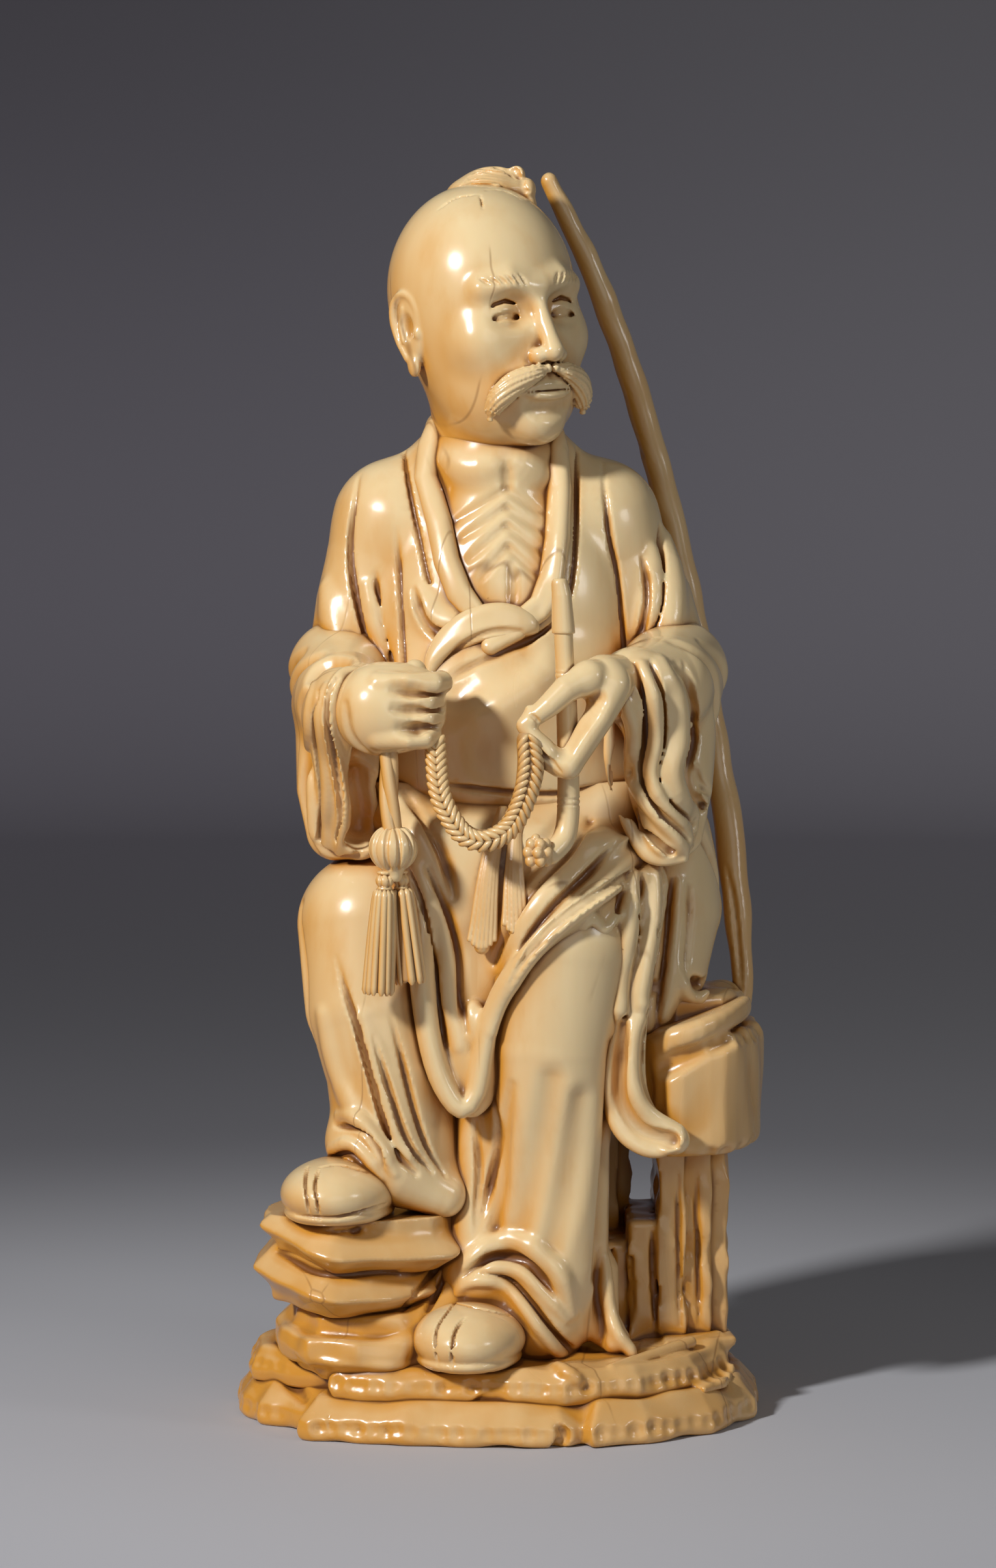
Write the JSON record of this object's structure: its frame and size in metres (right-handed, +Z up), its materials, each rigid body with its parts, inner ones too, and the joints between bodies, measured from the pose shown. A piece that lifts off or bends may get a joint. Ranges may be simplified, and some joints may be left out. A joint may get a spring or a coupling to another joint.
{
  "type": "seated figure carving",
  "caption": "Ivory-coloured carving of a seated robed figure on layered rock, holding a tasselled cord and a pipe, with a bent pole behind the shoulder.",
  "frame": {"origin": "on the table under the middle of the rock base", "axes": "+X to the figure's left, -Y to the front, +Z up"},
  "size_m": [0.115, 0.096, 0.2719],
  "materials": {
    "ivory_rock": "polished ivory with a honey patina",
    "ivory_cloth": "polished cream ivory",
    "ivory_skin": "highly polished cream ivory",
    "ivory_fine": "polished ivory with brown in the cuts"
  },
  "bodies": {
    "root": {"rock_base": "ivory_rock", "rock_terrace": "ivory_rock", "step_rock_lower": "ivory_rock", "step_rock_middle": "ivory_rock", "step_rock_upper": "ivory_rock", "seat_rock": "ivory_rock", "rock_ledge": "ivory_rock", "rock_ledge_cap": "ivory_rock", "right_shoe": "ivory_cloth", "left_shoe": "ivory_cloth", "right_trouser_leg": "ivory_cloth", "left_trouser_leg": "ivory_cloth", "robe_skirt": "ivory_cloth", "robe_body": "ivory_cloth", "robe_lapels": "ivory_cloth", "sash_fold": "ivory_cloth", "bare_chest": "ivory_skin", "right_sleeve": "ivory_cloth", "left_sleeve": "ivory_cloth", "sash_end_right": "ivory_fine", "sash_end_left": "ivory_fine", "head": "ivory_skin", "topknot": "ivory_fine", "right_hand": "ivory_skin", "left_hand": "ivory_skin", "braided_cord": "ivory_fine", "tassel_cord": "ivory_fine", "cord_bead": "ivory_fine", "tassel_collars": "ivory_fine", "tassel_front": "ivory_fine", "tassel_rear": "ivory_fine", "pipe_mouthpiece": "ivory_cloth", "pipe_stem": "ivory_cloth", "pipe_bowl": "ivory_cloth", "carrying_pole": "ivory_cloth", "waist_dowel": "ivory_skin", "seat_dowel": "ivory_skin", "base_dowel_right": "ivory_skin", "base_dowel_left": "ivory_skin"}
  },
  "joints": []
}
